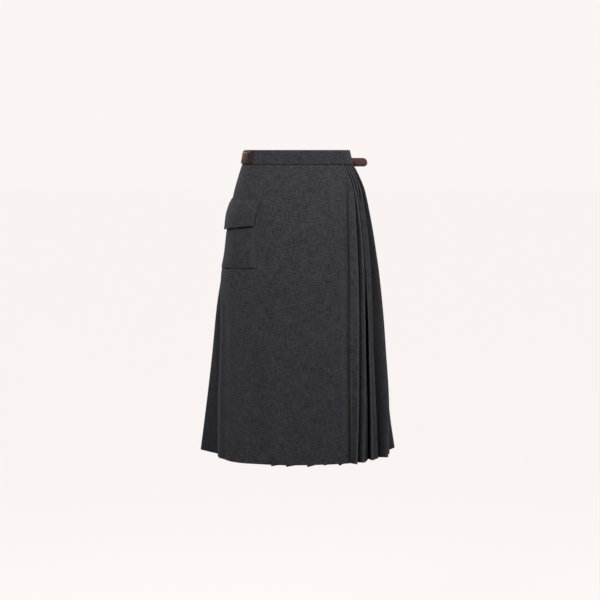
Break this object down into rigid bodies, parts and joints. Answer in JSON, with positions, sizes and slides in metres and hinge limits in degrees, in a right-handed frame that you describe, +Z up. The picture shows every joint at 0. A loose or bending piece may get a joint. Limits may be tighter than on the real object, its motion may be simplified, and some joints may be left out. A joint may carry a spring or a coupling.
{
  "type": "pleated midi skirt",
  "caption": "Wrap midi skirt with a flat front apron, knife pleats at the side and back, a flapped hip pocket and leather waist tabs.",
  "frame": {"origin": "centre of the waist opening, level with the top edge of the waistband", "axes": "+Z up along the skirt, -Y towards the front apron, +X towards the side pleats (the viewer's right from the front)"},
  "size_m": [0.4823, 0.3731, 0.7413],
  "materials": {
    "charcoal_wool": "matt plain-woven wool",
    "charcoal_wool_under": "matt plain-woven wool, under layer",
    "brown_leather": "smooth semi-matt leather"
  },
  "bodies": {
    "root": {"waistband": "charcoal_wool", "front_apron": "charcoal_wool", "side_pleats": "charcoal_wool", "back_pleats": "charcoal_wool", "left_side": "charcoal_wool_under", "under_apron": "charcoal_wool_under", "pocket_bag": "charcoal_wool", "pocket_flap": "charcoal_wool", "waist_tab": "brown_leather", "waist_strap": "brown_leather"}
  },
  "joints": []
}
